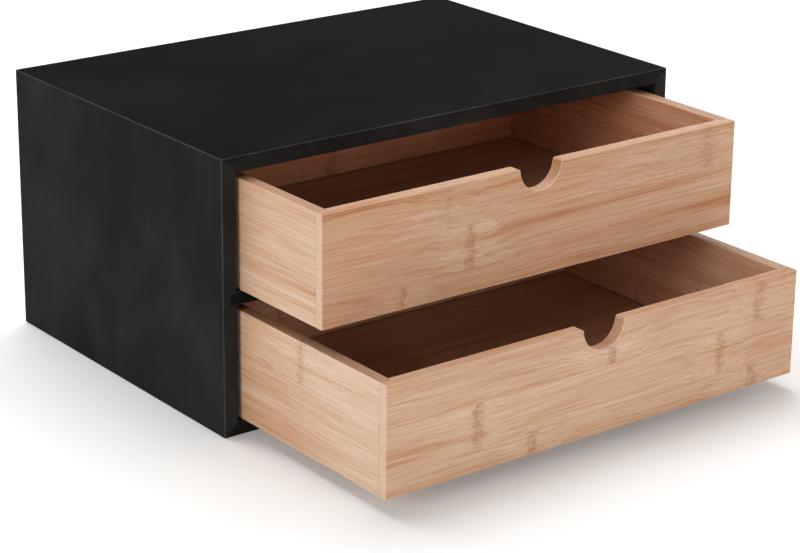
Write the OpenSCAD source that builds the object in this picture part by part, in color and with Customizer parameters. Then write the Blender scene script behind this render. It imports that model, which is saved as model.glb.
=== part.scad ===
// Desktop mini drawers: a mitred cabinet with a housed divider shelf, and two
// drawers that run loose on the boards. The origin is the middle of the cabinet's
// underside, +X to the right, +Y to the back, +Z up. The drawers are part open.

/* [Cabinet] */
// Outside width
cab_w = 330; // [240:1:500]
// Outside depth, without the open drawers
cab_d = 228; // [180:1:320]
// Thickness of the top, bottom and side panels
panel_t = 9; // [8:0.5:14]
// Thickness of the divider shelf
divider_t = 8; // [6:0.5:12]
// Depth of the housing that takes the end of the divider shelf
housing_d = 4.5; // [2:0.5:5]
// Thickness of the back panel
back_t = 6; // [4:0.5:9]
// Distance from the cabinet's rear edges in to the back panel
back_inset = 16; // [8:1:40]
// Depth of the groove that holds the back panel
back_groove_d = 4.5; // [2:0.5:5]
// Size of the flat worked on the outside edges of the cabinet
cab_ease = 0.8; // [0.3:0.1:1.5]

/* [Mitre splines] */
// Width of a spline, across the mitre
spline_w = 7; // [5:0.5:7]
// Thickness of a spline
spline_t = 2; // [1:0.5:2]
// Distance from the inside faces out to a spline's middle
spline_out = 4; // [3.6:0.1:4.4]
// Distance from a spline's ends to the front and to the back panel's groove
spline_stop = 16; // [5:1:40]

/* [Drawers] */
// Height of a drawer
drawer_h = 65.2; // [45:0.1:120]
// Thickness of the drawer front
front_t = 8; // [7:0.5:12]
// Thickness of the part of the front that laps over the ends of the sides
front_lap = 5.3; // [4.5:0.1:6]
// Thickness of the drawer sides
side_t = 7.5; // [6:0.5:9]
// Thickness of the drawer back
rear_t = 7.5; // [6:0.5:9]
// Depth of the rebate in each side that takes the drawer back
rear_housing_d = 2.2; // [1:0.1:2.5]
// Thickness of the drawer bottom
floor_t = 3.5; // [3:0.5:5]
// Depth of the groove for the drawer bottom
groove_d = 3; // [2:0.5:3.5]
// Height of that groove above the drawer's lower edge
groove_up = 4; // [3:0.5:6]
// Size of the flat worked on a drawer's outside edges
drawer_ease = 0.6; // [0.2:0.1:1]
// How far the upper drawer is pulled out
upper_open = 77; // [0:1:140]
// How far the lower drawer is pulled out
lower_open = 134; // [0:1:140]

/* [Finger notch] */
// Radius of the half-round notch in a drawer front
notch_r = 15; // [11:0.5:22]
// Radius that rounds the notch into the top edge
notch_round = 1.5; // [1:0.5:4]

/* [Corner pins] */
// Diameter of the pins in a drawer's corners
pin_d = 3; // [2:0.5:3.5]
// Length of those pins
pin_l = 12; // [8:1:16]
// How far a pin goes into the drawer front
pin_in_front = 3; // [2:0.5:3.5]
// How far a pin goes into a drawer side at the back corners
pin_in_side = 2.5; // [1:0.5:3]
// Height of the lower pin above the drawer's lower edge
pin_up = 17; // [14:1:20]
// Distance from the drawer's top edge down to the upper pin
pin_down = 15; // [8:1:20]

/* [Clearances] */
// Gap at each side of a drawer that lies in the middle of its bay
side_gap = 5; // [3:0.5:8]
// How far the drawers lie off the middle, minus to the left
drawer_shift = -2; // [-2.5:0.5:2.5]
// Running clearance under a drawer
drawer_lift = 0.3; // [0.2:0.1:0.6]
// Gap above a drawer
top_gap = 4; // [1:0.1:6]
// Gap left at the back panel when a drawer is flush with the front
stop_gap = 1.5; // [0.5:0.5:10]
// Play of the drawer bottom in its groove, upwards
floor_play = 0.4; // [0.1:0.1:0.8]
// Play of the drawer bottom in its groove, at each edge
floor_edge_play = 0.25; // [0.1:0.05:0.6]
// Glue gap round splines and pins
glue_gap = 0.05; // [0.02:0.01:0.1]

/* [Hidden] */

$fn = 48;
LEFT = -1;
RIGHT = 1;
cut = 1;                                   // how far a cut runs past a face
meet = 0.02;                               // how far two rounds run into each other

lacquer = [0.13, 0.13, 0.14];
bamboo = [0.84, 0.69, 0.52];
bamboo_floor = [0.78, 0.62, 0.45];
hardwood = [0.72, 0.6, 0.46];

bay_w = cab_w - 2 * panel_t;
bay_h = drawer_lift + drawer_h + top_gap;
bay_d = cab_d - back_inset - back_t;
cab_h = 2 * panel_t + 2 * bay_h + divider_t;
front_y = -cab_d / 2;
lower_bay_z = panel_t;
divider_z = lower_bay_z + bay_h;
upper_bay_z = divider_z + divider_t;

drawer_w = bay_w - 2 * side_gap;
drawer_l = bay_d - stop_gap;
inner_x = drawer_w / 2 - side_t;           // inside face of a drawer side
rear_y = drawer_l - rear_t;                // inside face of a drawer back
pin_zs = [pin_up, drawer_h - pin_down];

// ---- shared shapes -------------------------------------------------------

// A box from its low corner to its high corner.
module box(low, high) {
    translate(low) cube(high - low);
}

// A rectangle centred on x and standing on y = 0, with cut corners.
module eased_outline(w, h, e) {
    polygon([
        [-w / 2 + e, 0], [w / 2 - e, 0], [w / 2, e], [w / 2, h - e],
        [w / 2 - e, h], [-w / 2 + e, h], [-w / 2, h - e], [-w / 2, e]
    ]);
}

// Runs an outline drawn in X and Z back along Y.
module run_back(length) {
    translate([0, length, 0]) rotate([90, 0, 0]) linear_extrude(length) children();
}

// A block w by d by h, front at y = 0, with every outside edge eased.
module eased_block(w, d, h, e) {
    intersection() {
        linear_extrude(h) eased_outline(w, d, e);
        run_back(d) eased_outline(w, h, e);
        translate([-w / 2, d / 2, 0]) rotate([90, 0, 90]) linear_extrude(w) eased_outline(d, h, e);
    }
}

module in_cabinet() {
    translate([0, front_y, 0]) children();
}

// ---- cabinet -------------------------------------------------------------

// A board on its outside face, with both ends mitred, running back along Y.
module mitred_board(length) {
    run_back(cab_d) polygon([
        [-length / 2, 0], [length / 2, 0],
        [length / 2 - panel_t, panel_t], [-length / 2 + panel_t, panel_t]
    ]);
}

// The space that the back panel fills, with its edges in the grooves.
module back_panel_space() {
    reach = bay_w / 2 + back_groove_d;
    edge = panel_t - back_groove_d;
    box([-reach, bay_d, edge], [reach, bay_d + back_t, cab_h - edge]);
}

// The space that the divider shelf fills.
module divider_space(before) {
    reach = bay_w / 2 + housing_d;
    box([-reach, -before, divider_z], [reach, bay_d, upper_bay_z]);
}

// A spline lies square across the mitre. grow makes the slot for it.
module spline(side, top, grow) {
    z = top ? cab_h - panel_t + spline_out : panel_t - spline_out;
    turn = (top ? 1 : -1) * side * 45;
    length = bay_d - 2 * spline_stop;
    translate([side * (bay_w / 2 + spline_out), bay_d / 2, z]) rotate([0, turn, 0])
        cube([spline_w + 2 * grow, length + 2 * grow, spline_t + 2 * grow], center = true);
}

module spline_slots() {
    for (side = [LEFT, RIGHT], top = [false, true]) spline(side, top, glue_gap);
}

module cut_for_joints() {
    difference() {
        intersection() {
            eased_block(cab_w, cab_d, cab_h, cab_ease);
            children();
        }
        back_panel_space();
        divider_space(cut);
        spline_slots();
    }
}

module bottom_panel() {
    color(lacquer) in_cabinet() cut_for_joints() mitred_board(cab_w);
}

module top_panel() {
    color(lacquer) in_cabinet() cut_for_joints()
        translate([0, 0, cab_h]) mirror([0, 0, 1]) mitred_board(cab_w);
}

module side_panel(side) {
    color(lacquer) in_cabinet() cut_for_joints()
        translate([side * cab_w / 2, 0, cab_h / 2]) rotate([0, -side * 90, 0]) mitred_board(cab_h);
}

module divider_shelf() {
    color(lacquer) in_cabinet() divider_space(0);
}

module back_panel() {
    color(lacquer) in_cabinet() back_panel_space();
}

module mitre_spline(side, top) {
    color(hardwood) in_cabinet() spline(side, top, 0);
}

// ---- drawers -------------------------------------------------------------
// A drawer is drawn with its front face at y = 0 and its lower edge at z = 0.

module upper_place() {
    translate([drawer_shift, front_y - upper_open, upper_bay_z + drawer_lift]) children();
}

module lower_place() {
    translate([drawer_shift, front_y - lower_open, lower_bay_z + drawer_lift]) children();
}

module drawer_envelope() {
    eased_block(drawer_w, drawer_l, drawer_h, drawer_ease);
}

// The groove that runs round the inside for the drawer bottom.
module floor_groove() {
    box(
        [-inner_x - groove_d, front_t - groove_d, groove_up],
        [inner_x + groove_d, rear_y + groove_d, groove_up + floor_t + floor_play]
    );
}

// Outline of the finger notch, with the middle of the board's top edge at the origin.
module notch_outline() {
    down = 0.8 * notch_round;
    reach = sqrt(pow(notch_r + notch_round - meet, 2) - pow(down, 2));
    circle(r = notch_r);
    for (side = [LEFT, RIGHT]) difference() {
        polygon([[0, 0], [0, cut], [side * reach, cut], [side * reach, -down]]);
        translate([side * reach, -down]) circle(r = notch_round);
    }
}

// Pins of all four corners. grow makes the holes for them.
module pins(grow) {
    for (side = [LEFT, RIGHT], z = pin_zs) {
        translate([side * (inner_x + side_t / 2), front_lap - pin_in_front - grow, z])
            rotate([-90, 0, 0]) cylinder(d = pin_d + 2 * grow, h = pin_l + 2 * grow);
        translate([side * (inner_x + rear_housing_d + pin_in_side + grow), rear_y + rear_t / 2, z])
            rotate([0, -side * 90, 0]) cylinder(d = pin_d + 2 * grow, h = pin_l + 2 * grow);
    }
}

module drawer_front() {
    color(bamboo) difference() {
        intersection() {
            drawer_envelope();
            box([-drawer_w / 2, 0, 0], [drawer_w / 2, front_t, drawer_h]);
        }
        for (side = [LEFT, RIGHT])
            translate([side * drawer_w / 2, front_lap + front_t / 2, drawer_h / 2])
                cube([2 * side_t, front_t, drawer_h + 2 * cut], center = true);
        floor_groove();
        translate([0, -cut, drawer_h]) run_back(front_t + 2 * cut) notch_outline();
        pins(glue_gap);
    }
}

module drawer_side(side) {
    color(bamboo) mirror([side == LEFT ? 1 : 0, 0, 0]) difference() {
        intersection() {
            drawer_envelope();
            box([inner_x, front_lap, 0], [drawer_w / 2, drawer_l, drawer_h]);
        }
        floor_groove();
        box([inner_x - cut, rear_y, -cut], [inner_x + rear_housing_d, drawer_l + cut, drawer_h + cut]);
        pins(glue_gap);
    }
}

module drawer_back() {
    reach = inner_x + rear_housing_d;
    color(bamboo) difference() {
        intersection() {
            drawer_envelope();
            box([-reach, rear_y, 0], [reach, drawer_l, drawer_h]);
        }
        floor_groove();
        pins(glue_gap);
    }
}

module drawer_bottom() {
    reach = inner_x + groove_d - floor_edge_play;
    color(bamboo_floor) box(
        [-reach, front_t - groove_d + floor_edge_play, groove_up],
        [reach, rear_y + groove_d - floor_edge_play, groove_up + floor_t]
    );
}

module drawer_pins() {
    color(hardwood) pins(0);
}

top_panel();
bottom_panel();
side_panel(LEFT);  // left_side_panel
side_panel(RIGHT);  // right_side_panel
divider_shelf();
back_panel();
mitre_spline(LEFT, true);  // top_left_spline
mitre_spline(RIGHT, true);  // top_right_spline
mitre_spline(LEFT, false);  // bottom_left_spline
mitre_spline(RIGHT, false);  // bottom_right_spline
upper_place() drawer_front();  // upper_drawer_front
upper_place() drawer_side(LEFT);  // upper_drawer_left_side
upper_place() drawer_side(RIGHT);  // upper_drawer_right_side
upper_place() drawer_back();  // upper_drawer_back
upper_place() drawer_bottom();  // upper_drawer_bottom
upper_place() drawer_pins();  // upper_drawer_pins
lower_place() drawer_front();  // lower_drawer_front
lower_place() drawer_side(LEFT);  // lower_drawer_left_side
lower_place() drawer_side(RIGHT);  // lower_drawer_right_side
lower_place() drawer_back();  // lower_drawer_back
lower_place() drawer_bottom();  // lower_drawer_bottom
lower_place() drawer_pins();  // lower_drawer_pins
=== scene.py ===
import math

import bmesh
import bpy
from mathutils import Matrix, Vector


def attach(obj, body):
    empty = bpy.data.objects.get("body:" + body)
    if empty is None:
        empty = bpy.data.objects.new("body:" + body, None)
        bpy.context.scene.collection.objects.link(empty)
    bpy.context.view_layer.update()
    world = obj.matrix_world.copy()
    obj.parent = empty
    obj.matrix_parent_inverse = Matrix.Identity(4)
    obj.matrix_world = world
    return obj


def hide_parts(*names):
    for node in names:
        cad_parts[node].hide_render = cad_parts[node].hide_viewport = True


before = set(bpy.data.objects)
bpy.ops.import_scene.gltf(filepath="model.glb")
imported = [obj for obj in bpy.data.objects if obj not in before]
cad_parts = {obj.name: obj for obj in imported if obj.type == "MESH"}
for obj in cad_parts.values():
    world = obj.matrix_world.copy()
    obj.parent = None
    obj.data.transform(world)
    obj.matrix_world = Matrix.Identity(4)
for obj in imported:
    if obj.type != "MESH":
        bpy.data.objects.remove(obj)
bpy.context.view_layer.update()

# ---- Camera ---------------------------------------------------------------
# Stands to the left of the cabinet's front and a little above it, on a long lens,
# so the left side, the top and the drawer fronts all show.
MM = 0.001
VIEW_ROUND = math.radians(-37.53)
VIEW_DOWN = math.radians(18.52)
VIEW_ROLL = math.radians(0.6)
AIM = Vector((-56.24, -132.87, 80.0)) * MM
STAND_OFF = 1424 * MM
FOCAL_PX = 2484.77
IMAGE_W = 800
SENSOR = 36
AIM_BELOW_AXIS_PX = 64

forward = Vector((
    -math.sin(VIEW_ROUND) * math.cos(VIEW_DOWN),
    math.cos(VIEW_ROUND) * math.cos(VIEW_DOWN),
    -math.sin(VIEW_DOWN),
))
level_right = Vector((math.cos(VIEW_ROUND), math.sin(VIEW_ROUND), 0))
level_up = level_right.cross(forward)
right = math.cos(VIEW_ROLL) * level_right + math.sin(VIEW_ROLL) * level_up
up = math.cos(VIEW_ROLL) * level_up - math.sin(VIEW_ROLL) * level_right

camera_data = bpy.data.cameras.new("camera")
camera_data.sensor_width = SENSOR
camera_data.lens = FOCAL_PX / IMAGE_W * SENSOR
camera_data.shift_y = -AIM_BELOW_AXIS_PX / IMAGE_W
camera_data.clip_start = 0.05
camera_data.clip_end = 50
camera = bpy.data.objects.new("camera", camera_data)
camera_place = Matrix((right, up, -forward)).transposed().to_4x4()
camera_place.translation = AIM - STAND_OFF * (forward - AIM_BELOW_AXIS_PX / FOCAL_PX * up)
camera.matrix_world = camera_place
bpy.context.scene.collection.objects.link(camera)
bpy.context.scene.camera = camera

# ---- Floor and light ------------------------------------------------------
# A white floor that shows white to the camera and keeps the shadow. One large soft
# lamp hangs high behind the object, and three weaker ones stand low round it.
FLOOR_SIZE = 12.0
FLOOR_GAP = 0.05 * MM
FLOOR_COLOUR = (0.914, 0.92, 0.924, 1)
FLOOR_LIFT = 0.13
ROOM_LEVEL = 0.22
WHITE = (1, 1, 1, 1)
LAMPS_AIM = Vector((0, -0.1, 0.08))
# Each lamp's name, place, width, height, power in watts and colour.
LAMPS = (
    ("left_lamp", (-2.2, -0.60, 0.70), 1.0, 0.8, 17.4, (1, 0.99, 0.97)),
    ("front_lamp", (0.3, -2.4, 0.50), 1.6, 0.8, 14.8, (1, 0.985, 0.965)),
    ("right_lamp", (2.2, 0.9, 0.50), 1.6, 0.8, 12, (1, 1, 1)),
    ("high_lamp", (0.15, 0.85, 2.1), 2.4, 1.8, 53, (1, 1, 1)),
)


class Strand:
    """One socket of a material's nodes. Sums on it add Math nodes."""

    def __init__(self, tree, socket):
        self.tree = tree
        self.socket = socket

    def node(self, kind, settings=None, values=None, out=0):
        """Adds a node of that kind beside this strand, and gives the strand of one output."""
        return add_node(self.tree, kind, settings, values, out)

    def maths(self, operation, *others):
        values = {0: self}
        values.update(enumerate(others, start=1))
        return self.node("Math", {"operation": operation}, values)

    def __add__(self, other):
        return self.maths("ADD", other)

    def __radd__(self, other):
        return self + other

    def __sub__(self, other):
        return self.maths("SUBTRACT", other)

    def __rsub__(self, other):
        return self * -1 + other

    def __mul__(self, other):
        return self.maths("MULTIPLY", other)

    def __rmul__(self, other):
        return self * other

    def __truediv__(self, other):
        return self.maths("DIVIDE", other)

    def step(self, low, high):
        """0 below low, 1 above high, and smooth between them."""
        values = {"Value": self, "From Min": low, "From Max": high}
        return self.node("MapRange", {"interpolation_type": "SMOOTHSTEP"}, values)


def add_node(tree, kind, settings=None, values=None, out=0):
    """Adds a node. Settings go on first, then each input gets its value or its link."""
    made = tree.nodes.new("ShaderNode" + kind)
    settings = dict(settings or {})
    for i, (place, colour) in enumerate(settings.pop("stops", ())):
        ramp = made.color_ramp.elements
        stop = ramp[i] if i < 2 else ramp.new(place)
        stop.position = place
        stop.color = colour
    for name, setting in settings.items():
        setattr(made, name, setting)
    for key, value in (values or {}).items():
        if isinstance(value, Strand):
            tree.links.new(value.socket, made.inputs[key])
        else:
            made.inputs[key].default_value = value
    return Strand(tree, made.outputs[out])


def mixed(factor, first, second, blend="MIX"):
    """The first colour where factor is 0, the second where it is 1."""
    settings = {"data_type": "RGBA", "blend_type": blend}
    return add_node(factor.tree, "Mix", settings, {0: factor, 6: first, 7: second}, 2)


def new_finish(name):
    """A material with an empty tree, and that tree."""
    finish = bpy.data.materials.new(name)
    finish.use_nodes = True
    finish.node_tree.nodes.clear()
    return finish, finish.node_tree


def surface(tree, shader, kind="Material"):
    """Links a shader to the output of its material, or of the world."""
    tree.links.new(shader.socket, tree.nodes.new("ShaderNodeOutput" + kind).inputs["Surface"])


def seen(tree):
    """1 on rays that show the background: straight, mirrored or through glass."""
    total = 0
    for ray in ("Is Camera Ray", "Is Glossy Ray", "Is Transmission Ray"):
        total = add_node(tree, "LightPath", out=ray) + total
    return total.maths("MINIMUM", 1.0)


floor_white, tree = new_finish("white_sweep")
matt = add_node(tree, "BsdfDiffuse", values={"Color": FLOOR_COLOUR})
glow = add_node(tree, "Emission", values={"Color": WHITE, "Strength": seen(tree) * FLOOR_LIFT})
surface(tree, add_node(tree, "AddShader", values={0: matt, 1: glow}))

bm = bmesh.new()
bmesh.ops.create_grid(bm, x_segments=8, y_segments=8, size=FLOOR_SIZE / 2)
bmesh.ops.translate(bm, verts=bm.verts, vec=(0, 0, -FLOOR_GAP))
floor_mesh = bpy.data.meshes.new("floor")
bm.to_mesh(floor_mesh)
bm.free()
floor_mesh.materials.append(floor_white)
floor = bpy.data.objects.new("floor", floor_mesh)
bpy.context.scene.collection.objects.link(floor)

room = bpy.data.worlds.new("room")
bpy.context.scene.world = room
room.use_nodes = True
room.node_tree.nodes.clear()
tree = room.node_tree
level = seen(tree) * (1 - ROOM_LEVEL) + ROOM_LEVEL
surface(tree, add_node(tree, "Background", values={"Color": WHITE, "Strength": level}), "World")

for name, place, width, height, power, colour in LAMPS:
    lamp = bpy.data.lights.new(name, "AREA")
    lamp.shape = "RECTANGLE"
    lamp.size = width
    lamp.size_y = height
    lamp.energy = power
    lamp.color = colour
    stand = bpy.data.objects.new(name, lamp)
    stand.location = place
    stand.rotation_euler = (LAMPS_AIM - Vector(place)).to_track_quat("-Z", "Y").to_euler()
    bpy.context.scene.collection.objects.link(stand)

bpy.context.scene.view_settings.view_transform = "Standard"

# ---- Cabinet boards -------------------------------------------------------
# Top, bottom and sides are bamboo boards with mitred ends, glued into a frame,
# routed for the shelf and the back panel, then eased, stained and lacquered black.
CABINET_W = 330 * MM
CABINET_D = 228 * MM
CABINET_H = 165 * MM
BOARD_T = 9 * MM
BAY_D = 206 * MM
BACK_T = 6 * MM
HOUSING_IN = 4.5 * MM
SHELF_LOW = 78.5 * MM
SHELF_HIGH = 86.5 * MM
OUTSIDE_ROUND = 0.8 * MM
INSIDE_ROUND = 0.35 * MM
JOINT_LINE = 0.12 * MM
HALF_W = CABINET_W / 2
FRONT_Y = -CABINET_D / 2
BACK_Y = CABINET_D / 2
PANEL_Y = FRONT_Y + BAY_D

X, Y, Z = range(3)
NEAR = 1e-6
CREASE = math.radians(40)
SHARP = math.radians(30)
FLAT_ENOUGH = math.radians(0.5)
# A face whose normal lies closer than this to an axis isn't part of a rounded edge.
SQUARE = 0.97

# The black as it lies deep, and where it looks dusty and carries painted sheen. Upright boards are
# painted paler and level ones darker, as painted light and shade for how the lamps fall on their
# faces.
LEVEL_BLACKS_PAINTED_SHADE = (0.0048, 0.0048, 0.0050, 1), (0.0125, 0.0125, 0.0130, 1)
UPRIGHT_BLACKS_PAINTED_LIGHT = (0.0175, 0.0175, 0.0174, 1), (0.0380, 0.0380, 0.0378, 1)
# Rounded edges and board fronts go paler, partly as worn paint and partly as painted highlight.
BLACK_EDGE_WEAR_AND_HIGHLIGHT = (0.080, 0.080, 0.079, 1)
LACQUER_SPECULAR = 0.004
# How rubbed the front edges of the boards are, and how much painted highlight they carry, from 0 to
# 1.
LEVEL_WEAR_AND_HIGHLIGHT = 0.30
UPRIGHT_WEAR_AND_HIGHLIGHT = 0.10
SHELF_WEAR_AND_HIGHLIGHT = 0.08

# Turns that lay the grain along an axis.
ALONG_X = (0, 0, 0)
ALONG_Z = (0, math.radians(90), 0)


def block(low, high):
    """A bmesh box from its low corner to its high corner."""
    low, high = Vector(low), Vector(high)
    bm = bmesh.new()
    size = Matrix.Diagonal((*(high - low), 1))
    bmesh.ops.create_cube(bm, size=1, matrix=Matrix.Translation((low + high) / 2) @ size)
    return bm


def everything(bm):
    return bm.verts[:] + bm.edges[:] + bm.faces[:]


def saw(bm, point, normal):
    """Saws off what lies in front of the plane and closes the cut."""
    cut = bmesh.ops.bisect_plane(
        bm, geom=everything(bm), dist=NEAR, plane_co=point, plane_no=normal, clear_outer=True
    )
    edges = [x for x in cut["geom_cut"] if isinstance(x, bmesh.types.BMEdge)]
    bmesh.ops.contextual_create(bm, geom=edges)


def inside(point, walls):
    """True where the point is in front of every wall or on it."""
    return all((point - co).dot(normal) > -NEAR for co, normal in walls)


def rout(bm, *walls, stops=()):
    """Cuts away all that lies in front of every wall, each a point and the way it faces.
    The cut runs out at the stops, which are open already and get no face."""
    walls = [(Vector(co), Vector(normal)) for co, normal in walls]
    limits = walls + [(Vector(co), Vector(normal)) for co, normal in stops]
    for co, normal in limits:
        bmesh.ops.bisect_plane(bm, geom=everything(bm), dist=NEAR, plane_co=co, plane_no=normal)
    gone = [f for f in bm.faces if inside(f.calc_center_median(), limits)]
    bmesh.ops.delete(bm, geom=gone, context="FACES")
    for co, normal in walls:
        rim = [
            v for v in bm.verts
            if abs((v.co - co).dot(normal)) < NEAR
            and inside(v.co, limits)
            and any(e.is_boundary for e in v.link_edges)
        ]
        if len(rim) > 2:
            bmesh.ops.contextual_create(bm, geom=rim)
    bmesh.ops.recalc_face_normals(bm, faces=bm.faces)
    bmesh.ops.dissolve_limit(bm, angle_limit=FLAT_ENOUGH, verts=bm.verts, edges=bm.edges)


def face_mark(bm, name):
    """The face attribute of that name, which the finishes read."""
    return bm.faces.layers.float.get(name) or bm.faces.layers.float.new(name)


def ease(bm, chosen, size, segments=3, mark="arris", clamp=True):
    """Rounds the edges that chosen picks, and marks the new faces."""
    marked = face_mark(bm, mark)
    edges = [e for e in bm.edges if len(e.link_faces) == 2 and chosen(e)]
    made = bmesh.ops.bevel(
        bm, geom=edges, offset=size, offset_type="OFFSET", segments=segments, profile=0.5,
        affect="EDGES", clamp_overlap=clamp, material=-1,
    )
    for face in made["faces"]:
        face[marked] = max(abs(x) for x in face.normal) < SQUARE


def on(edge, axis, value):
    """True where both ends of the edge lie at that value of the axis."""
    return all(abs(v.co[axis] - value) < 5 * NEAR for v in edge.verts)


def sharp(edge):
    return edge.calc_face_angle(0) > SHARP


def put(name, bm, finish, body):
    """Makes the bmesh a piece that rides on a body in place of the CAD node of its name."""
    mesh = bpy.data.meshes.new(name)
    bmesh.ops.recalc_face_normals(bm, faces=bm.faces)
    for face in bm.faces:
        face.smooth = True
    for edge in bm.edges:
        edge.smooth = edge.calc_face_angle(0) < CREASE
    bm.to_mesh(mesh)
    bm.free()
    mesh.materials.append(finish)
    piece = bpy.data.objects.new(name, mesh)
    bpy.context.scene.collection.objects.link(piece)
    even = piece.modifiers.new("even_normals", "WEIGHTED_NORMAL")
    even.keep_sharp = True
    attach(piece, body)
    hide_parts(name)


def lay(tree, turn):
    """Object coordinates in millimetres, turned so that the grain runs along X."""
    place = add_node(tree, "TexCoord", out="Object")
    values = {"Vector": place, "Rotation": turn, "Scale": (1 / MM, 1 / MM, 1 / MM)}
    return add_node(tree, "Mapping", {"vector_type": "POINT"}, values)


def stretched(vector, scale, shift=(0, 0, 0)):
    """The vector times a scale on each axis, moved by shift."""
    scaled = vector.node("VectorMath", {"operation": "MULTIPLY"}, {0: vector, 1: scale})
    return vector.node("VectorMath", {"operation": "ADD"}, {0: scaled, 1: shift})


def noise(vector, detail=2.0, roughness=0.5, distortion=0.0):
    """Cloudy noise about 1 unit across, from 0 to 1."""
    values = {
        "Vector": vector, "Scale": 1.0, "Detail": detail, "Roughness": roughness,
        "Distortion": distortion,
    }
    return vector.node("TexNoise", {"noise_dimensions": "3D"}, values)


def mark_read(tree, name):
    """The face attribute of that name, as a strand."""
    return add_node(tree, "Attribute", {"attribute_name": name}, out="Fac")


def wood_skin(tree, colour, roughness, height, bump, deep, specular=0.5):
    """The surface of a board. Bump is its strength, and deep the depth that it suggests."""
    values = {"Strength": bump, "Distance": deep, "Height": height}
    relief = add_node(tree, "Bump", values=values)
    values = {
        "Base Color": colour, "Roughness": roughness, "Specular IOR Level": specular,
        "Normal": relief,
    }
    surface(tree, add_node(tree, "BsdfPrincipled", values=values))


def black_lacquer(name, turn, deep, dust_and_sheen):
    """Flat black over bamboo: cloudy, a little dusty, with painted sheen in its paler clouds, and
    the grain faint under it.
    """
    finish, tree = new_finish(name)
    grain = lay(tree, turn)
    cloud = noise(stretched(grain, (0.010, 0.013, 0.013), (3, 1, 5)), detail=3, distortion=0.8)
    smudge_and_sheen = noise(stretched(grain, (0.024, 0.050, 0.050), (7, 3, 1)), detail=6, roughness=0.66)
    streak = noise(stretched(grain, (0.010, 0.50, 0.50)), detail=4, roughness=0.6)
    fine = noise(stretched(grain, (0.70, 1.3, 1.3)), detail=3, roughness=0.7)
    # The paler clouds stand partly for dust and partly for painted sheen.
    shade = cloud.step(0.28, 0.74) * 0.45 + smudge_and_sheen.step(0.50, 0.82) * 0.28
    shade = shade + streak * 0.16 + fine * 0.60 - 0.27
    colour = mixed(shade.step(0.0, 1.0), deep, dust_and_sheen)
    # Painted highlight and wear: the rounded edges and the marked fronts go paler.
    wear_and_highlight = mark_read(tree, "arris") * (0.45 + 0.55 * smudge_and_sheen.step(0.35, 0.65))
    colour = mixed(wear_and_highlight, colour, BLACK_EDGE_WEAR_AND_HIGHLIGHT)
    roughness = 0.50 + 0.14 * cloud + 0.06 * fine
    height = streak * 0.5 + fine * 0.5
    wood_skin(tree, colour, roughness, height, 0.12, 0.2 * MM, LACQUER_SPECULAR)
    return finish


# Two copies of one lacquer: painted darker for the level boards and paler for the upright ones, as
# painted shade and light.
level_black_painted_shade = black_lacquer("black_lacquer_long_painted_shade", ALONG_X, *LEVEL_BLACKS_PAINTED_SHADE)
upright_black_painted_light = black_lacquer("black_lacquer_upright_painted_light", ALONG_Z, *UPRIGHT_BLACKS_PAINTED_LIGHT)


def cabinet_blank():
    """The outside of the whole cabinet, eased all round, before it is sawn into boards."""
    bm = block((-HALF_W, FRONT_Y, 0), (HALF_W, BACK_Y, CABINET_H))
    ease(bm, lambda e: True, OUTSIDE_ROUND, segments=4)
    return bm


def mitre(side, top):
    """The plane of one mitre, through the cabinet's corner, facing the side panel."""
    corner = Vector((side * HALF_W, 0, CABINET_H if top else 0))
    return corner, Vector((side, 0, -1 if top else 1)).normalized()


def at_mitre(edge):
    """True on an edge that runs down the slope of a mitre on the front or the back."""
    along = (edge.verts[1].co - edge.verts[0].co).normalized()
    return abs(abs(along.x) - abs(along.z)) < 0.01 and abs(along.x) > 0.5


def at_end(edge):
    """True on an edge of the cabinet's front or back."""
    return on(edge, Y, FRONT_Y) or on(edge, Y, BACK_Y)


def groove_for_back(bm, bottom, normal):
    """The groove near the rear that holds the edge of the back panel."""
    rout(bm, ((0, PANEL_Y, 0), (0, 1, 0)), ((0, PANEL_Y + BACK_T, 0), (0, -1, 0)), (bottom, normal))


def ease_inner(bm, axis, inner):
    """Breaks the inner edges at the front and the rear, before the mitres are sawn."""
    ease(bm, lambda e: sharp(e) and on(e, axis, inner) and at_end(e), INSIDE_ROUND, clamp=False)


def open_joints(bm):
    """Breaks the ends of the mitres a hair, so the joints show as fine lines."""
    ease(
        bm, lambda e: sharp(e) and at_end(e) and at_mitre(e), JOINT_LINE,
        segments=1, mark="joint_line_and_gap_shade", clamp=False,
    )


def mark_front_wear_and_highlight(bm, amount):
    """Marks the front edge of a board as rubbed and lit with painted highlight, by that amount."""
    arris = face_mark(bm, "arris")
    for face in bm.faces:
        if abs(face.calc_center_median().y - FRONT_Y) < NEAR:
            face[arris] = amount


for name, top in (("top_panel", True), ("bottom_panel", False)):
    bm = cabinet_blank()
    inner_z = CABINET_H - BOARD_T if top else BOARD_T
    groove_z = inner_z + HOUSING_IN if top else inner_z - HOUSING_IN
    inward = -1 if top else 1
    saw(bm, (0, 0, inner_z), (0, 0, inward))
    ease_inner(bm, Z, inner_z)
    for side in (-1, 1):
        corner, normal = mitre(side, top)
        saw(bm, corner, normal)
    groove_for_back(bm, (0, 0, groove_z), (0, 0, inward))
    open_joints(bm)
    mark_front_wear_and_highlight(bm, LEVEL_WEAR_AND_HIGHLIGHT)
    put(name, bm, level_black_painted_shade, "cabinet")

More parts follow.
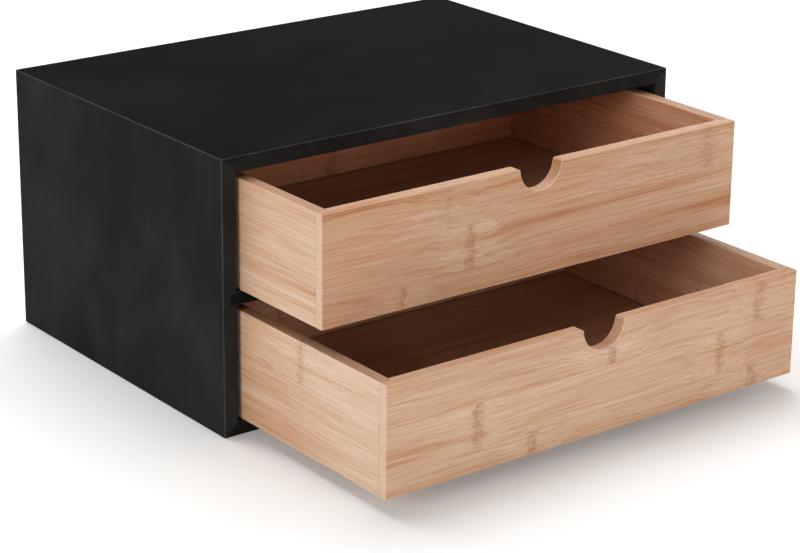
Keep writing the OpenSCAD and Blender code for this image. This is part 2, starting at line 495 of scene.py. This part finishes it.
for name, side in (("left_side_panel", -1), ("right_side_panel", 1)):
    bm = cabinet_blank()
    inner_x = side * (HALF_W - BOARD_T)
    groove_x = inner_x + side * HOUSING_IN
    saw(bm, (inner_x, 0, 0), (-side, 0, 0))
    ease_inner(bm, X, inner_x)
    for top in (False, True):
        corner, normal = mitre(side, top)
        saw(bm, corner, -normal)
    groove_for_back(bm, (groove_x, 0, 0), (-side, 0, 0))
    rout(
        bm, ((groove_x, 0, 0), (-side, 0, 0)),
        ((0, 0, SHELF_LOW), (0, 0, 1)), ((0, 0, SHELF_HIGH), (0, 0, -1)),
        stops=[((0, PANEL_Y, 0), (0, -1, 0))],
    )
    open_joints(bm)
    mark_front_wear_and_highlight(bm, UPRIGHT_WEAR_AND_HIGHLIGHT)
    put(name, bm, upright_black_painted_light, "cabinet")

# ---- Shelf and back panel -------------------------------------------------
# The shelf between the drawers is glued into the housings, flush with the front.
# The back panel slides into its groove before the last mitre closes, and stops the drawers.
HOUSED_X = HALF_W - BOARD_T + HOUSING_IN

bm = block((-HOUSED_X, FRONT_Y, SHELF_LOW), (HOUSED_X, PANEL_Y, SHELF_HIGH))
ease(bm, lambda e: on(e, Y, FRONT_Y), INSIDE_ROUND)
mark_front_wear_and_highlight(bm, SHELF_WEAR_AND_HIGHLIGHT)
put("divider_shelf", bm, level_black_painted_shade, "cabinet")

bm = block(
    (-HOUSED_X, PANEL_Y, BOARD_T - HOUSING_IN),
    (HOUSED_X, PANEL_Y + BACK_T, CABINET_H - BOARD_T + HOUSING_IN),
)
ease(bm, lambda e: True, INSIDE_ROUND)
put("back_panel", bm, level_black_painted_shade, "cabinet")

# ---- Mitre splines --------------------------------------------------------
# Thin strips of pale wood glued across the four mitres, closed in by the boards.
# They run from front to back, and so does their grain.
SPLINE_PALE = (0.56, 0.40, 0.25, 1)
SPLINE_DARK = (0.40, 0.26, 0.14, 1)
ALONG_Y = (0, 0, math.radians(-90))


def pale_wood(name, turn):
    """Unfinished straight-grained wood."""
    finish, tree = new_finish(name)
    streak = noise(stretched(lay(tree, turn), (0.05, 1.3, 1.3)), detail=3)
    colour = mixed(streak.step(0.3, 0.7), SPLINE_PALE, SPLINE_DARK)
    wood_skin(tree, colour, 0.6 + 0.1 * streak, streak, 0.3, 0.2 * MM)
    return finish


def refinish(node, finish):
    """Gives a carried-over CAD node its material."""
    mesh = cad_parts[node].data
    mesh.materials.clear()
    mesh.materials.append(finish)


spline_wood = pale_wood("joinery_wood", ALONG_Y)
for corner in ("top_left", "top_right", "bottom_left", "bottom_right"):
    refinish(corner + "_spline", spline_wood)

# ---- Drawers --------------------------------------------------------------
# Two equal boxes of glued-up bamboo. The front laps the ends of the sides, the back
# sits in rebates, pins hold the corners and the bottom lies in a groove all round.
DRAWER_W = 302 * MM
DRAWER_L = 204.5 * MM
DRAWER_H = 65.2 * MM
DRAWER_X = -2 * MM
FRONT_T = 8 * MM
LAP_T = 5.3 * MM
SIDE_T = 7.5 * MM
REAR_T = 7.5 * MM
REAR_HOUSING = 2.2 * MM
GROOVE_LOW = 4 * MM
GROOVE_HIGH = 7.9 * MM
GROOVE_IN = 2.2 * MM
FLOOR_T = 3.5 * MM
FLOOR_IN = 2 * MM
NOTCH_R = 15 * MM
NOTCH_ROUND = 1.6 * MM
NOTCH_STEPS = 36
SHOULDER_STEPS = 6
ARRIS = 0.5 * MM
HAIR = 0.15 * MM
LIP_BREAK = 0.5 * MM
HALF_DRAWER = DRAWER_W / 2
INNER = HALF_DRAWER - SIDE_T
REAR_Y = DRAWER_L - REAR_T

# A bottom lies flat: its grain runs along X, and its strips follow each other along Y.
FLAT = (math.radians(90), 0, 0)
# In millimetres: the width of a glued strip, and how far the highest strip's seam lies
# above the top edge, so that no seam shows on the edge.
STRIP_W = 25.8
SEAM_LIFT = 0.6
# Farther from a knuckle than anything on a board.
FAR = 999.0
# A drift is where along a board its tone starts to change, where it stops, both in
# millimetres, and by how much. A side's is counted from the front, and its tone starts
# paler than the front's.
NO_DRIFT = (0, 1, 0)
SIDE_DRIFT = (25, 120, 0.31)
SIDE_PALER = 0.24


def srgb(r, g, b):
    """A colour as it shows on a screen, 0 to 255, in the numbers that a shader takes."""
    channels = [x / 255 for x in (r, g, b)]
    return (*[x / 12.92 if x < 0.04 else ((x + 0.055) / 1.055) ** 2.4 for x in channels], 1)


# From the palest heartwood of a strip to the orange rind side.
BAMBOO_TONES = (
    (0.00, srgb(232, 204, 179)), (0.25, srgb(222, 188, 159)), (0.50, srgb(211, 168, 134)),
    (0.75, srgb(202, 149, 111)), (1.00, srgb(185, 122, 80)),
)
PALEST = BAMBOO_TONES[0][1]
KNUCKLE_BROWN = srgb(168, 92, 50)
# The dark of the glue lines, and the painted shade in the gap above a drawer's bottom.
JOINT_AND_GAP_SHADE_BROWN = srgb(52, 26, 16)
# Painted shade: the faces inside a drawer are multiplied by this tint.
ROOM_SHADE_TINT = srgb(238, 217, 208)
# Painted shade that dulls the top edges and the notch's rim.
TOP_EDGE_SHADE_TINT = srgb(196, 178, 164)
# How much of the painted shade tint the top edges take, by the axis of their grain, and the notch's
# rim.
TOP_EDGE_SHADE_SHARES = {X: 0.38, Y: 1.0}
RIM_SHADE_SHARE = 0.45
# A face whose normal lies closer than this to an axis faces along it.
FACING = 0.95
BAMBOO_SPECULAR = 0.3


def bamboo(name, turn, low_edge, seed, depth, knuckles, drift=NO_DRIFT):
    """Glued-up bamboo strips with long fibres. Depth shifts the whole board from pale to
    orange, and drift does so along it. A knuckle is its place along the board, its strip
    counted from the low edge, how wide its flecks spread and how far down it lies."""
    finish, tree = new_finish(name)
    board = lay(tree, turn)
    split = add_node(tree, "SeparateXYZ", values={0: board}).socket.node.outputs
    along, thick, across = (Strand(tree, split[axis]) for axis in "XYZ")
    rows = (across - low_edge) / STRIP_W
    strip = rows.maths("FLOOR")
    own = strip.node("TexWhiteNoise", {"noise_dimensions": "1D"}, {"W": strip + seed}, "Color")
    own = own.node("SeparateXYZ", values={0: own}).socket.node.outputs
    own_start, own_tone = (Strand(tree, own[axis]) for axis in "XY")

    # How far each place lies from the nearest knuckle, with a ragged line round it.
    bend = noise(stretched(board, (0.05, 0.30, 0.30), (seed, 0, 0)), detail=3) * 7.0 - 3.5
    away = None
    for place, row, spread, down in knuckles:
        other = 1 - strip.maths("COMPARE", float(row), 0.5)
        far = ((along + bend - place) / spread).maths("ABSOLUTE") + (other * FAR + down)
        away = far if away is None else away.maths("MINIMUM", far)
    halo = 1 - away.step(3.0, 26.0)

    # The fibres wander along the board and swirl round a knuckle.
    wave = noise(stretched(board, (0.008, 0.022, 0.04), (0, seed, 0)), detail=1) * 6.0
    swirl = noise(stretched(board, (0.09, 0.20, 0.20)), detail=2) * halo * 4.0
    sway = wave + swirl
    flow = add_node(tree, "CombineXYZ", values={
        0: along + own_start * 900.0, 1: thick + sway * 0.5, 2: across + sway,
    })
    band = noise(stretched(flow, (0.0040, 0.075, 0.095)), detail=2, roughness=0.55)
    streak = noise(stretched(flow, (0.0080, 0.55, 0.55), (5, 1, 2)), detail=3, roughness=0.62)
    fibre = noise(stretched(flow, (0.020, 1.55, 1.55), (1, 7, 4)), detail=2, roughness=0.6)
    fleck = noise(stretched(board, (0.62, 0.95, 0.95)), detail=3, roughness=0.7)

    # Broad bands, streaks and fibres, and each strip's own tone, from pale to orange.
    tone = depth + (band - 0.5) * 0.62 + band.step(0.62, 0.74) * 0.22
    tone = tone + (streak - 0.5) * 0.42 + (fibre.step(0.40, 0.66) - 0.4) * 0.32
    tone = tone + (own_tone - 0.5) * 0.16
    tone = tone - halo * 0.12
    start, stop, amount = drift
    tone = tone + along.step(start, stop) * amount
    colour = tone.node("ValToRGB", {"stops": BAMBOO_TONES}, {"Fac": tone})
    # The brown flecks of the knuckles, and the glue lines between the strips.
    core = (1 - away.step(0.6, 3.4)) * (fleck.step(0.36, 0.64) * 0.72 + 0.28)
    loose = (1 - away.step(1.5, 7.0)) * fleck.step(0.50, 0.70)
    knuckle = (core * 0.80 + loose * 0.45).maths("MINIMUM", 1.0)
    colour = mixed(knuckle * 0.60, colour, KNUCKLE_BROWN)
    seam = (rows.maths("FRACT") - 0.5).maths("ABSOLUTE").step(0.488, 0.5)
    colour = mixed(seam * 0.28, colour, KNUCKLE_BROWN)
    # Broken edges are paler, partly as wear and partly as painted highlight, and end grain is
    # paler.
    # Joint lines are dark, and the gap over a bottom's groove is painted shade. The faces in the
    # room, the top edges and the notch's rim take painted shade.
    colour = mixed(mark_read(tree, "arris") * 0.35, colour, PALEST)
    colour = mixed(mark_read(tree, "end_grain") * (0.45 + 0.3 * fibre), colour, PALEST)
    colour = mixed(mark_read(tree, "joint_line_and_gap_shade") * 0.85, colour, JOINT_AND_GAP_SHADE_BROWN)
    colour = mixed(mark_read(tree, "within"), colour, ROOM_SHADE_TINT, "MULTIPLY")
    colour = mixed(mark_read(tree, "top_shade"), colour, TOP_EDGE_SHADE_TINT, "MULTIPLY")

    height = streak * 0.4 + fibre * 0.6 - knuckle * 0.5
    wood_skin(tree, colour, 0.48 + 0.14 * streak, height, 0.18, 0.3 * MM, BAMBOO_SPECULAR)
    return finish


def drawer_blank(front_y, low_z):
    """A block of a drawer's outside size, with its front face at front_y."""
    return block(
        (DRAWER_X - HALF_DRAWER, front_y, low_z),
        (DRAWER_X + HALF_DRAWER, front_y + DRAWER_L, low_z + DRAWER_H),
    )


def floor_groove(bm, wall, low_z):
    """The groove that holds the bottom. The wall is where it ends and the way that faces."""
    rout(
        bm, wall,
        ((0, 0, low_z + GROOVE_LOW), (0, 0, 1)), ((0, 0, low_z + GROOVE_HIGH), (0, 0, -1)),
    )


def front_board(front_y, low_z):
    """The front: an outline with its notch, cut by spinning corners, then given its thickness."""
    top = low_z + DRAWER_H
    reach = math.sqrt((NOTCH_R + NOTCH_ROUND) ** 2 - NOTCH_ROUND ** 2)
    tip = math.asin(NOTCH_ROUND / (NOTCH_R + NOTCH_ROUND))
    bm = bmesh.new()

    def corner(x, z):
        return bm.verts.new((DRAWER_X + x, front_y, z))

    def turned(vert, centre, angle, steps):
        """Spins one corner about a centre on the face, and gives the last corner."""
        made = bmesh.ops.spin(
            bm, geom=[vert], cent=(DRAWER_X + centre[0], front_y, centre[1]), axis=(0, 1, 0),
            angle=angle, steps=steps, use_merge=False, use_duplicate=False,
        )
        return next(x for x in made["geom_last"] if isinstance(x, bmesh.types.BMVert))

    start = corner(-reach, top)
    left_end = turned(start, (-reach, top - NOTCH_ROUND), math.pi / 2 - tip, SHOULDER_STEPS)
    right_start = turned(left_end, (0, top), -(math.pi - 2 * tip), NOTCH_STEPS)
    end = turned(right_start, (reach, top - NOTCH_ROUND), math.pi / 2 - tip, SHOULDER_STEPS)
    rest = [
        end, corner(HALF_DRAWER, top), corner(HALF_DRAWER, low_z),
        corner(-HALF_DRAWER, low_z), corner(-HALF_DRAWER, top), start,
    ]
    for pair in zip(rest, rest[1:]):
        bm.edges.new(pair)
    bmesh.ops.contextual_create(bm, geom=bm.edges)
    made = bmesh.ops.extrude_face_region(bm, geom=bm.faces[:])
    moved = [x for x in made["geom"] if isinstance(x, bmesh.types.BMVert)]
    bmesh.ops.translate(bm, verts=moved, vec=(0, FRONT_T, 0))
    bmesh.ops.recalc_face_normals(bm, faces=bm.faces)
    for side in (-1, 1):
        rout(
            bm, ((0, front_y + LAP_T, 0), (0, 1, 0)),
            ((DRAWER_X + side * INNER, 0, 0), (side, 0, 0)),
        )
    floor_groove(bm, ((0, front_y + FRONT_T - GROOVE_IN, 0), (0, 1, 0)), low_z)
    return bm


def ease_lip(bm, axis, wall, low_z):
    """Breaks the upper lip of the groove for the bottom, and marks it with a painted shade line,
    the dark of the gap above the bottom.
    """
    ease(
        bm, lambda e: on(e, Z, low_z + GROOVE_HIGH) and on(e, axis, wall) and sharp(e),
        LIP_BREAK, segments=1, mark="joint_line_and_gap_shade",
    )


def mark_faces(bm, low, high, grain):
    """Marks the faces that look into the drawer's room, from its low to its high corner, and
    the end grain, the top edges and the notch. The room, the top edges and the notch's rim
    are marked for painted shade. Grain is the axis that the fibres follow."""
    within, end_grain, top_shade = (face_mark(bm, x) for x in ("within", "end_grain", "top_shade"))
    low, high = Vector(low), Vector(high)
    for face in bm.faces:
        centre = face.calc_center_median()
        looks_in = face.normal.dot((low + high) / 2 - centre) > 0
        in_box = all(a - NEAR < c < b + NEAR for a, c, b in zip(low, centre, high))
        # The faces inside the room get the painted shade tint.
        face[within] = looks_in and in_box
        face[end_grain] = abs(face.normal[grain]) > FACING
        # Top edges facing up get painted shade.
        if face.normal.z > FACING and centre.z > high.z:
            face[top_shade] = TOP_EDGE_SHADE_SHARES[grain]
        # The notch's rim drops the end-grain paleness and takes painted shade instead.
        notch = abs(centre.x - DRAWER_X) < NOTCH_R + NOTCH_ROUND and abs(face.normal.y) < 0.05
        if grain == X and notch and high.z - NOTCH_R - MM < centre.z < high.z + ARRIS - NEAR:
            face[top_shade], face[end_grain] = RIM_SHADE_SHARE, 0


def make_drawer(name, front_y, low_z, seed, depth, bottom_depth, drift, knuckles):
    """The five boards of one drawer, each riding on the drawer's body. Seed, depth, drift
    and knuckles are what the bamboo takes; the depth and drift are those of the front."""
    top = low_z + DRAWER_H
    back_y = front_y + DRAWER_L
    front_mm, back_mm = front_y / MM, back_y / MM
    rows = top / MM - 3 * STRIP_W + SEAM_LIFT
    room = (
        (DRAWER_X - INNER, front_y + FRONT_T, low_z + GROOVE_LOW + FLOOR_T),
        (DRAWER_X + INNER, front_y + REAR_Y, top - ARRIS),
    )

    piece = name + "_front"
    bm = front_board(front_y, low_z)
    ease(bm, lambda e: sharp(e) and (
        on(e, Y, front_y) or on(e, Z, top) or on(e, Z, low_z)
        or (on(e, Y, front_y + FRONT_T) and min(v.co.z for v in e.verts) > top - NOTCH_R - MM)
    ) and not on(e, Y, front_y + LAP_T), ARRIS)
    ease_lip(bm, Y, front_y + FRONT_T, low_z)
    mark_faces(bm, *room, grain=X)
    finish = bamboo(piece + "_bamboo", ALONG_X, rows, seed, depth, knuckles["front"], drift)
    put(piece, bm, finish, name)

    for word, side in (("left", -1), ("right", 1)):
        rebate_x = DRAWER_X + side * (INNER + REAR_HOUSING)
        groove_x = DRAWER_X + side * (INNER + GROOVE_IN)
        bm = drawer_blank(front_y, low_z)
        saw(bm, (DRAWER_X + side * INNER, 0, 0), (-side, 0, 0))
        saw(bm, (0, front_y + LAP_T, 0), (0, -1, 0))
        rout(bm, ((0, front_y + REAR_Y, 0), (0, 1, 0)), ((rebate_x, 0, 0), (-side, 0, 0)))
        floor_groove(bm, ((groove_x, 0, 0), (-side, 0, 0)), low_z)
        ease(bm, lambda e: sharp(e) and (
            on(e, Z, top) or on(e, Z, low_z) or on(e, Y, back_y)
        ) and not on(e, Y, front_y + LAP_T), ARRIS)
        ease(
            bm, lambda e: sharp(e) and on(e, Y, front_y + LAP_T), HAIR,
            segments=1, mark="joint_line_and_gap_shade",
        )
        ease_lip(bm, X, DRAWER_X + side * INNER, low_z)
        mark_faces(bm, *room, grain=Y)
        start, stop, amount = SIDE_DRIFT
        finish = bamboo(
            name + "_" + word + "_bamboo", ALONG_Y, rows, seed + 20 + 10 * side,
            depth - SIDE_PALER, knuckles[word], (front_mm + start, front_mm + stop, amount),
        )
        put(name + "_" + word + "_side", bm, finish, name)

    piece = name + "_back"
    bm = drawer_blank(front_y, low_z)
    for side in (-1, 1):
        saw(bm, (DRAWER_X + side * (INNER + REAR_HOUSING), 0, 0), (side, 0, 0))
    saw(bm, (0, front_y + REAR_Y, 0), (0, -1, 0))
    floor_groove(bm, ((0, front_y + REAR_Y + GROOVE_IN, 0), (0, -1, 0)), low_z)
    ease(bm, lambda e: sharp(e) and (on(e, Z, top) or on(e, Z, low_z)) and not (
        on(e, X, DRAWER_X + INNER + REAR_HOUSING) or on(e, X, DRAWER_X - INNER - REAR_HOUSING)
    ), ARRIS)
    ease_lip(bm, Y, front_y + REAR_Y, low_z)
    mark_faces(bm, *room, grain=X)
    finish = bamboo(piece + "_bamboo", ALONG_X, rows, seed + 5, depth, knuckles["back"])
    put(piece, bm, finish, name)

    piece = name + "_bottom"
    reach = INNER + FLOOR_IN
    bm = block(
        (DRAWER_X - reach, front_y + FRONT_T - FLOOR_IN, low_z + GROOVE_LOW),
        (DRAWER_X + reach, front_y + REAR_Y + FLOOR_IN, low_z + GROOVE_LOW + FLOOR_T),
    )
    ease(bm, lambda e: True, HAIR, segments=2)
    # The whole upper face looks into the drawer, also where the groove covers it.
    mark_faces(bm, (-1, -1, room[0][Z] - MM), (1, 1, 1), grain=X)
    finish = bamboo(
        piece + "_bamboo", FLAT, -back_mm, seed + 6, bottom_depth, knuckles["bottom"]
    )
    put(piece, bm, finish, name)
    refinish(name + "_pins", spline_wood)


make_drawer(
    "upper_drawer", front_y=-191 * MM, low_z=86.8 * MM, seed=1.3, depth=0.57,
    bottom_depth=0.22, drift=(60, 150, 0.02),
    knuckles={
        "front": ((-68, 2, 2.6, 2.0), (127, 2, 4.6, 1.4), (-52, 1, 1.5, 0), (-99, 0, 1.1, 0.4)),
        "left": ((-30, 2, 1.2, 0), (-60, 1, 1.6, 0), (-8, 0, 1.0, 0)),
        "right": ((-150, 1, 1.2, 1.0), (-20, 2, 1.0, 0), (-75, 0, 1.5, 0)),
        "back": (
            (-6, 0, 2.0, 0), (-4, 1, 2.0, 0.2), (-110, 2, 2.0, 0), (88, 2, 1.6, 0),
            (64, 1, 1.0, 1.0),
        ),
        "bottom": (
            (-90, 1, 1.2, 0), (40, 3, 1.0, 0), (-20, 5, 1.5, 0), (110, 6, 1.1, 0),
            (-120, 4, 1.0, 1),
        ),
    },
)
make_drawer(
    "lower_drawer", front_y=-248 * MM, low_z=9.3 * MM, seed=12.7, depth=0.45,
    bottom_depth=0.32, drift=(40, 140, 0.12),
    knuckles={
        "front": (
            (4.5, 2, 1.6, 0.2), (118, 2, 3.0, 0.9), (-91, 1, 1.9, 0.2), (89, 1, 1.5, 0.3),
            (-52, 0, 1.8, 0.2), (115, 0, 2.0, 0.3),
        ),
        "left": ((-171, 2, 2.6, 1.1), (-92, 1, 1.0, 0), (-70, 0, 1.4, 0)),
        "right": ((-175, 1, 1.1, 1.0), (-88, 2, 1.3, 0), (-120, 0, 1.0, 0)),
        "back": ((52, 0, 1.2, 0), (-84, 1, 1.0, 0), (101, 2, 1.5, 1), (-20, 2, 1.0, 0)),
        "bottom": (
            (30, 1, 1.2, 0), (-70, 3, 1.0, 0), (96, 4, 1.4, 0), (-118, 6, 1.1, 0),
            (12, 5, 1.0, 1),
        ),
    },
)
